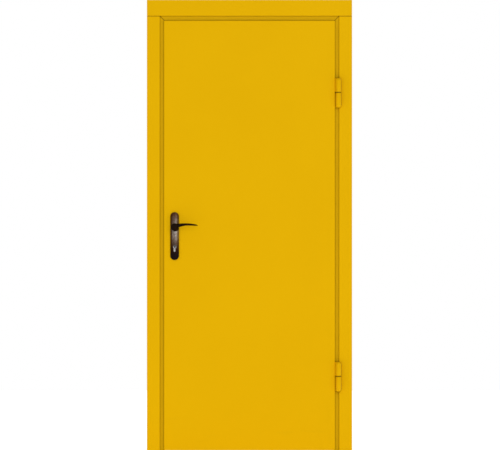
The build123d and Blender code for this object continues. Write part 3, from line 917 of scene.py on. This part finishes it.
def roundBarrelEnd(bm, axis, end, radius):
    upward = math.copysign(1.0, end.z - axis.z)
    for inset, length in hingeShape["endCuts"]:
        for angle in hingeShape["cutAngles"]:
            side = Vector((math.cos(math.radians(angle)), math.sin(math.radians(angle)), 0))
            slant = side * length + Vector((0, 0, upward * inset))
            place = Vector((axis.x, axis.y, end.z)) + side * (radius - inset)
            cutAcross(bm, place, slant.normalized(), True)
            closeHoles(bm)
    bmesh.ops.remove_doubles(bm, verts=bm.verts, dist=tiny)
    bmesh.ops.dissolve_degenerate(bm, edges=bm.edges, dist=tiny)


def makeHingeHalf(place, body, finish):
    nodeName = place + "_hinge_" + body + "_half"
    low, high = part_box(nodeName)
    pinLow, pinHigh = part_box(place + "_hinge_pin")
    middle = (pinLow + pinHigh) / 2

    def outsideBore(v):
        return math.hypot(v.co.x - middle.x, v.co.y - middle.y) > hingeShape["boreReach"]

    bm = copyNode(nodeName)
    edges = [
        e for e in bm.edges
        if all(outsideBore(v) for v in e.verts) and isSharp(e, hingeShape["sharp"])
    ]
    roundOff(bm, edges, hingeShape["edge"], hingeShape["edgeSegments"])
    farEnd = high if high.z + low.z > 2 * middle.z else low
    roundBarrelEnd(bm, middle, farEnd, high.x - middle.x)
    name = place + "Hinge" + body.title() + "Half"
    half = keepPiece(name, bm, body, finish)
    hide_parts(nodeName)


for place, finish in (("upper", upperHingePaint), ("lower", lowerHingePaint)):
    for body in ("leaf", "frame"):
        makeHingeHalf(place, body, finish)
print("hinges made")


# Filler in the butt joints of the casing, dark as painted shade in the joint
jointShape = {
    "recess": 0.0011,
    "play": 0.00005,
    "cuts": 48,
    "ripple": 0.00012,
    "rippleRate": 900,
}


def makeJointFiller(name, casingName):
    low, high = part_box(casingName)
    front = low.y + jointShape["recess"]
    back = high.y - jointShape["play"]
    foot = high.z + jointShape["play"]
    top = headCasingLow.z - jointShape["play"]
    start = low.x + jointShape["recess"]
    length = high.x - low.x - 2 * jointShape["recess"]
    bm = bmesh.new()
    corners = ((front, foot), (front, top), (back, top), (back, foot))
    section = bm.faces.new([bm.verts.new((start, y, z)) for y, z in corners])
    run = bmesh.ops.extrude_face_region(bm, geom=[section])["geom"]
    bmesh.ops.translate(bm, verts=vertsOf(run), vec=(length, 0, 0))
    for cut in range(1, jointShape["cuts"]):
        cutAcross(bm, (start + length * cut / jointShape["cuts"], 0, 0), (1, 0, 0))
    for v in bm.verts:
        if v.co.y < (front + back) / 2:
            v.co.y += jointShape["ripple"] * math.sin(jointShape["rippleRate"] * v.co.x)
    keepPiece(name, bm, "frame", seamShade)


makeJointFiller("lockJointFiller", "lock_casing")
makeJointFiller("hingeJointFiller", "hinge_casing")
print("casing joints filled")


# Weld in the mitres of the frame, from the ends of its head pieces, dark as painted shade in the
# mitre
weldShape = {"width": 0.0012, "recess": 0.0003, "facing": 0.99}


def makeMitreWeld(name, nodeName, side):
    towards = Vector((side, 0, -1)).normalized()
    bm = copyNode(nodeName)
    bm.normal_update()
    rest = [f for f in bm.faces if f.normal.dot(towards) < weldShape["facing"]]
    bmesh.ops.delete(bm, geom=rest, context="FACES")
    inset = bmesh.ops.inset_region(
        bm, faces=bm.faces[:], thickness=weldShape["recess"], use_boundary=True)
    bmesh.ops.delete(bm, geom=inset["faces"], context="FACES")
    grown = bmesh.ops.extrude_face_region(bm, geom=bm.faces[:], use_keep_orig=True)["geom"]
    bmesh.ops.translate(bm, verts=vertsOf(grown), vec=towards * weldShape["width"])
    keepPiece(name, bm, "frame", seamShade)


for name, nodeName in (("headWeld", "head"), ("headStopWeld", "head_stop")):
    makeMitreWeld(name + "Lock", nodeName, -1)
    makeMitreWeld(name + "Hinge", nodeName, 1)
print("mitres welded")


# Folded box behind the strike plate's holes
keeperShape = {
    "depth": 0.020,
    "behind": 0.0022,
    "margin": 0.002,
    "endInset": 0.018,
    "sheet": 0.0008,
    "fold": 0.002,
    "foldSegments": 3,
}


def makeKeeperBox():
    mouthX = strikeLow.x - keeperShape["behind"]
    margin = Vector((0, keeperShape["margin"], -keeperShape["endInset"]))
    low = Vector((mouthX - keeperShape["depth"], strikeLow.y, strikeLow.z)) - margin
    high = Vector((mouthX, strikeHigh.y, strikeHigh.z)) + margin
    bm = bmesh.new()
    bmesh.ops.create_cube(bm, size=1.0)
    bmesh.ops.scale(bm, verts=bm.verts, vec=high - low)
    bmesh.ops.translate(bm, verts=bm.verts, vec=(low + high) / 2)
    mouth = [f for f in bm.faces if f.normal.x > 0.5]
    bmesh.ops.delete(bm, geom=mouth, context="FACES_ONLY")
    folds = [e for e in bm.edges if e.is_manifold]
    roundOff(bm, folds, keeperShape["fold"], keeperShape["foldSegments"])
    bmesh.ops.recalc_face_normals(bm, faces=bm.faces)
    bmesh.ops.solidify(bm, geom=bm.faces[:], thickness=keeperShape["sheet"])
    keepPiece("keeperBox", bm, "frame", zinc)


makeKeeperBox()
print("keeper box made")


# Screws with a cross recess
screwShape = {
    "segments": 40,
    "dome": 0.16,
    "edge": 0.18,
    "edgeSegments": 3,
    "slotHalf": 0.13,
    "slotReach": 0.56,
    "slotDepth": 0.32,
    "slotTaper": 0.8,
    "sunk": 0.30,
}


def makeScrew(name, place, turn, group):  # made at radius 1, facing up
    half = screwShape["slotHalf"]
    reach = screwShape["slotReach"]
    bm = bmesh.new()
    bmesh.ops.create_circle(bm, cap_ends=True, segments=screwShape["segments"], radius=1.0)
    rim = bmesh.ops.extrude_edge_only(bm, edges=bm.edges[:])["geom"]
    bmesh.ops.translate(bm, verts=vertsOf(rim), vec=(0, 0, -screwShape["sunk"]))
    closeHoles(bm)
    bm.normal_update()
    shoulder = [
        e for e in bm.edges
        if e.is_manifold and all(abs(v.co.z) < tiny for v in e.verts)
    ]
    roundOff(bm, shoulder, screwShape["edge"], screwShape["edgeSegments"])
    for cut in (-reach, -half, half, reach):
        cutAcross(bm, (cut, 0, 0), (1, 0, 0))
        cutAcross(bm, (0, cut, 0), (0, 1, 0))
    cross = []
    for f in bm.faces:
        centre = f.calc_center_median()
        nearer, farther = sorted((abs(centre.x), abs(centre.y)))
        if abs(centre.z) < tiny and nearer < half and farther < reach:
            cross.append(f)
    for v in bm.verts:
        v.co.z += screwShape["dome"] * (1 - min(1.0, v.co.x ** 2 + v.co.y ** 2))
    pressed = bmesh.ops.extrude_face_region(bm, geom=cross)["geom"]
    bmesh.ops.delete(bm, geom=cross, context="FACES_ONLY")
    for v in vertsOf(pressed):
        v.co.x *= screwShape["slotTaper"]
        v.co.y *= screwShape["slotTaper"]
        v.co.z -= screwShape["slotDepth"]
    bmesh.ops.rotate(bm, verts=bm.verts, matrix=Matrix.Rotation(math.radians(turn), 3, "Z"))
    bmesh.ops.scale(bm, verts=bm.verts, vec=Vector((1, 1, 1)) * group["radius"])
    facing = Vector((0, 0, 1)).rotation_difference(Vector(group["direction"])).to_matrix()
    bmesh.ops.rotate(bm, verts=bm.verts, matrix=facing)
    bmesh.ops.translate(bm, verts=bm.verts, vec=place)
    keepPiece(name, bm, group["body"], group["finish"])


screwPlaces = {
    "plateInset": 0.014,
    "lockInset": 0.0105,
    "cylinderDrop": 0.016,  # the screw that holds the key cylinder
    "strikeInset": 0.0115,
    "sillMiddle": Vector((0, 0.035, 0.022)),
    "sillSpread": Vector((0.31, 0, 0)),
}
lockY = (lockFrontLow.y + lockFrontHigh.y) / 2
strikeY = (strikeLow.y + strikeHigh.y) / 2
screwGroups = {  # each head with its name, place and turn
    "insidePlateScrew": {
        "direction": (0, 1, 0),
        "radius": 0.0042,
        "body": "leaf",
        "slot": "handle_metal",
        "finish": leverBronze,
        "heads": (
            ("Top", (handleX, innerPlateHigh.y, innerPlateHigh.z - screwPlaces["plateInset"]), 20),
            ("Foot", (handleX, innerPlateHigh.y, innerPlateLow.z + screwPlaces["plateInset"]), 65),
        ),
    },
    "lockFrontScrew": {
        "direction": (-1, 0, 0),
        "radius": 0.0045,
        "body": "leaf",
        "slot": "lock_steel",
        "finish": zinc,
        "heads": (
            ("Top", (lockFrontLow.x, lockY, lockFrontHigh.z - screwPlaces["lockInset"]), 10),
            ("Foot", (lockFrontLow.x, lockY, lockFrontLow.z + screwPlaces["lockInset"]), 50),
            ("Cylinder", (lockFrontLow.x, lockY, plugZ - screwPlaces["cylinderDrop"]), 80),
        ),
    },
    "strikeScrew": {
        "direction": (1, 0, 0),
        "radius": 0.0042,
        "body": "frame",
        "slot": "lock_steel",
        "finish": zinc,
        "heads": (
            ("Top", (strikeHigh.x, strikeY, strikeHigh.z - screwPlaces["strikeInset"]), 35),
            ("Foot", (strikeHigh.x, strikeY, strikeLow.z + screwPlaces["strikeInset"]), 75),
        ),
    },
    "sillScrew": {
        "direction": (0, 0, 1),
        "radius": 0.0045,
        "body": "frame",
        "slot": "sill_steel",
        "finish": sillSteel,
        "heads": (
            ("Lock", screwPlaces["sillMiddle"] - screwPlaces["sillSpread"], 15),
            ("Middle", screwPlaces["sillMiddle"], 40),
            ("Hinge", screwPlaces["sillMiddle"] + screwPlaces["sillSpread"], 70),
        ),
    },
}
for groupName, group in screwGroups.items():
    for name, place, turn in group["heads"]:
        makeScrew(groupName + name, place, turn, group)
print("screws made")


# Caps over the anchor holes
capShape = {
    "wall": 0.395,
    "depth": 0.036,
    "heights": (0.250, 0.800, 1.350, 1.900),
    "radius": 0.0085,
    "stem": 0.0053,
    "stemDepth": 0.0018,
    "rise": 0.0016,
    "domeShares": ((0, 1), (0.55, 0.93), (0.85, 0.66), (0.97, 0.3), (1, 0)),  # of radius and rise
    "segments": 40,
    "crease": 60,
}


def makeAnchorCap(name, x, z, inward):
    stem = capShape["stem"]
    depth = capShape["stemDepth"]
    outline = [
        (capShape["radius"] * out, capShape["rise"] * up)
        for out, up in capShape["domeShares"]
    ]
    outline += [(stem, 0), (stem, -depth), (0, -depth)]
    centre = Vector((x, capShape["depth"], z))
    bm = bmesh.new()
    spinRound(bm, outline, centre, (inward, 0, 0), capShape["segments"])
    keepPiece(name, bm, "frame", framePaint, capShape["crease"])


for number, z in enumerate(capShape["heights"], 1):
    makeAnchorCap("lockAnchorCap" + str(number), -capShape["wall"], z, 1)
    makeAnchorCap("hingeAnchorCap" + str(number), capShape["wall"], z, -1)
print("anchor caps made")


# Floor, light and camera

floorLook = {
    "radius": 9.0,
    "segments": 96,
    "pale": (0.93, 0.93, 0.925, 1),
    "warm": (0.90, 0.90, 0.89, 1),
    "cloudSize": 0.8,
    "cloudEdges": (0.3, 0.7),
    "roughness": 0.6,
    "roughSpread": 0.1,
    "glow": 0.50,
}


def drawFloor(spot):
    cloud = grain(spot, floorLook["cloudSize"], 3.0)
    clouds = between(cloud, *floorLook["cloudEdges"])
    return {
        "Base Color": tint(clouds, floorLook["pale"], floorLook["warm"]),
        "Roughness": cloud * floorLook["roughSpread"] + floorLook["roughness"],
    }


def makeFloor():
    bm = bmesh.new()
    bmesh.ops.create_circle(
        bm, cap_ends=True, segments=floorLook["segments"], radius=floorLook["radius"])
    mesh = bpy.data.meshes.new("floor")
    bm.to_mesh(mesh)
    bm.free()
    glow = {"Emission Color": (1, 1, 1, 1), "Emission Strength": floorLook["glow"]}
    mesh.materials.append(newFinish("floorPale", glow, drawFloor))
    floor = bpy.data.objects.new("floor", mesh)
    bpy.context.scene.collection.objects.link(floor)


studio = {
    "fill": 0.52,  # strength of the world as light
    "backdrop": 1.0,  # and as the backdrop
    "softboxSize": 5.0,
    "aim": (0, 0, 1.05),
    "frontPlace": (0.9, -9.0, 3.2),
    "frontPower": 200,
    "backPlace": (-2.0, 8.5, 3.2),
    "backPower": 150,
}


def makeSoftbox(name, place, power):
    data = bpy.data.lights.new(name, "AREA")
    data.shape = "SQUARE"
    data.size = studio["softboxSize"]
    data.energy = power
    lamp = bpy.data.objects.new(name, data)
    lamp.location = place
    aim = Vector(studio["aim"]) - Vector(place)
    lamp.rotation_euler = aim.to_track_quat("-Z", "Y").to_euler()
    bpy.context.scene.collection.objects.link(lamp)


def makeLights():
    world = bpy.data.worlds.new("studio")
    bpy.context.scene.world = world
    world.use_nodes = True
    background = world.node_tree.nodes["Background"]
    background.inputs["Color"].default_value = (1, 1, 1, 1)
    ray = Wire(world.node_tree).node("ShaderNodeLightPath", output="Is Camera Ray")
    strength = ray * (studio["backdrop"] - studio["fill"]) + studio["fill"]
    world.node_tree.links.new(strength.socket, background.inputs["Strength"])
    makeSoftbox("frontSoftbox", studio["frontPlace"], studio["frontPower"])
    makeSoftbox("backSoftbox", studio["backPlace"], studio["backPower"])


photoView = {
    "distance": 24.0,
    "width": 2.340,  # metres across the picture at the leaf's face
    "centreX": 0.0024,
    "centreZ": 1.0659,
    "sensor": 36.0,
    "clipEnd": 200.0,
}


def makeCamera():
    data = bpy.data.cameras.new("camera")
    data.sensor_width = photoView["sensor"]
    data.lens = photoView["sensor"] * (photoView["distance"] + skinLow.y) / photoView["width"]
    data.clip_end = photoView["clipEnd"]
    camera = bpy.data.objects.new("camera", data)
    camera.location = (photoView["centreX"], -photoView["distance"], photoView["centreZ"])
    camera.rotation_euler = (math.radians(90), 0, 0)
    bpy.context.scene.collection.objects.link(camera)
    bpy.context.scene.camera = camera
    bpy.context.scene.view_settings.view_transform = "Standard"


makeFloor()
makeLights()
makeCamera()
print("stage set")
